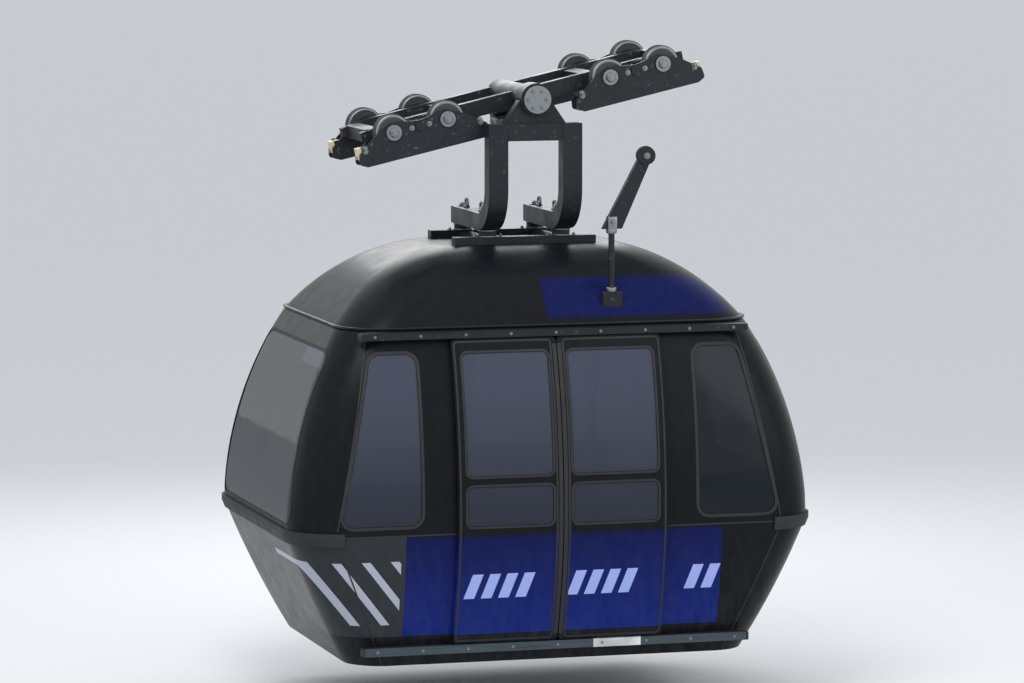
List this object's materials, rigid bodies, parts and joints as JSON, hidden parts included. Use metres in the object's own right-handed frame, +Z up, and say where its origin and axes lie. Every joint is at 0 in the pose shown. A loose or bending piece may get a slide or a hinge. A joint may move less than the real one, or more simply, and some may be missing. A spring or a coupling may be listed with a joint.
{
  "type": "three-rope gondola cabin with hanger and carriage",
  "caption": "Enclosed gondola cabin with sliding doors, hung by a C-shaped hanger from a carriage with grooved rollers and a haul rope grip.",
  "frame": {"origin": "on the haul rope's axis in the middle of the grip's jaws", "axes": "+X uphill along the line, level; +Y across, away from the doors; +Z up, the rope rising at 13 degrees"},
  "size_m": [3.536, 2.4174, 3.9294],
  "materials": {
    "cabin_black": "gloss black paint",
    "door_paint": "gloss blue and black paint",
    "tinted_glass": "dark tinted pane",
    "bare_aluminium": "satin",
    "chassis_steel": "matt grey paint",
    "floor_sheet": "studded",
    "lining": "pale grey panel",
    "bench_shell": "moulded, fine grain",
    "rubber": "matt",
    "rail_steel": "brushed",
    "hanger_paint": "satin charcoal paint",
    "carriage_paint": "satin charcoal paint",
    "zinc_steel": "galvanised",
    "cast_jaw": "machined",
    "roller_lining": "worn",
    "scraper_plastic": "plain"
  },
  "bodies": {
    "carriage": {"carriage_frame": "carriage_paint", "pivot_cap": "zinc_steel", "bogies": "carriage_paint", "grip_body": "cast_jaw", "grip_jaw": "cast_jaw", "grip_springs": "zinc_steel", "grip_lever": "zinc_steel", "rope_scrapers": "scraper_plastic"},
    "cabin": {"underframe": "chassis_steel", "floor": "floor_sheet", "lower_near": "cabin_black", "threshold": "cabin_black", "lower_far": "cabin_black", "lower_ends": "cabin_black", "frame_near": "cabin_black", "frame_far": "cabin_black", "frame_ends": "cabin_black", "glass_near": "tinted_glass", "glass_far": "tinted_glass", "glass_ends": "tinted_glass", "roof_shell": "cabin_black", "ceiling": "lining", "head_rail": "hanger_paint", "sill_rail": "bare_aluminium", "bench_ends": "bench_shell", "bench_far": "bench_shell", "grab_rails": "rail_steel", "bumpers": "rubber", "roof_frame": "hanger_paint", "rubber_mounts": "rubber", "hanger": "hanger_paint", "door_lever": "hanger_paint"},
    "door_left": {"door_left": "door_paint", "door_glass_left": "tinted_glass"},
    "door_right": {"door_right": "door_paint", "door_glass_right": "tinted_glass"},
    "roller_near_1": {"roller_near_1": "roller_lining"},
    "roller_near_2": {"roller_near_2": "roller_lining"},
    "roller_near_3": {"roller_near_3": "roller_lining"},
    "roller_near_4": {"roller_near_4": "roller_lining"},
    "roller_far_1": {"roller_far_1": "roller_lining"},
    "roller_far_2": {"roller_far_2": "roller_lining"},
    "roller_far_3": {"roller_far_3": "roller_lining"},
    "roller_far_4": {"roller_far_4": "roller_lining"}
  },
  "joints": [
    {"name": "hanger_swing", "type": "hinge", "parent": "carriage", "child": "cabin", "pos_m": [-0.03442, -0.525, 0.14908], "axis": [0, 1, 0], "range_deg": [-41, 15]},
    {"name": "door_right_slide", "type": "slide", "parent": "cabin", "child": "door_right", "axis": [1, 0, 0], "range_m": [0, 0.64]},
    {"name": "door_left_slide", "type": "slide", "parent": "cabin", "child": "door_left", "axis": [-1, 0, 0], "range_m": [0, 0.64]},
    {"name": "roller_near_1_spin", "type": "hinge", "parent": "carriage", "child": "roller_near_1", "pos_m": [-0.94545, -0.36, -0.06125], "axis": [0, 1, 0], "continuous": true},
    {"name": "roller_near_2_spin", "type": "hinge", "parent": "carriage", "child": "roller_near_2", "pos_m": [-0.58494, -0.36, 0.02198], "axis": [0, 1, 0], "continuous": true},
    {"name": "roller_near_3_spin", "type": "hinge", "parent": "carriage", "child": "roller_near_3", "pos_m": [0.5161, -0.36, 0.27618], "axis": [0, 1, 0], "continuous": true},
    {"name": "roller_near_4_spin", "type": "hinge", "parent": "carriage", "child": "roller_near_4", "pos_m": [0.87662, -0.36, 0.35941], "axis": [0, 1, 0], "continuous": true},
    {"name": "roller_far_1_spin", "type": "hinge", "parent": "carriage", "child": "roller_far_1", "pos_m": [-0.94545, 0.36, -0.06125], "axis": [0, 1, 0], "continuous": true},
    {"name": "roller_far_2_spin", "type": "hinge", "parent": "carriage", "child": "roller_far_2", "pos_m": [-0.58494, 0.36, 0.02198], "axis": [0, 1, 0], "continuous": true},
    {"name": "roller_far_3_spin", "type": "hinge", "parent": "carriage", "child": "roller_far_3", "pos_m": [0.5161, 0.36, 0.27618], "axis": [0, 1, 0], "continuous": true},
    {"name": "roller_far_4_spin", "type": "hinge", "parent": "carriage", "child": "roller_far_4", "pos_m": [0.87662, 0.36, 0.35941], "axis": [0, 1, 0], "continuous": true}
  ],
  "couplings": [
    {"joint": "door_left_slide", "follows": "door_right_slide", "ratio": 1}
  ]
}
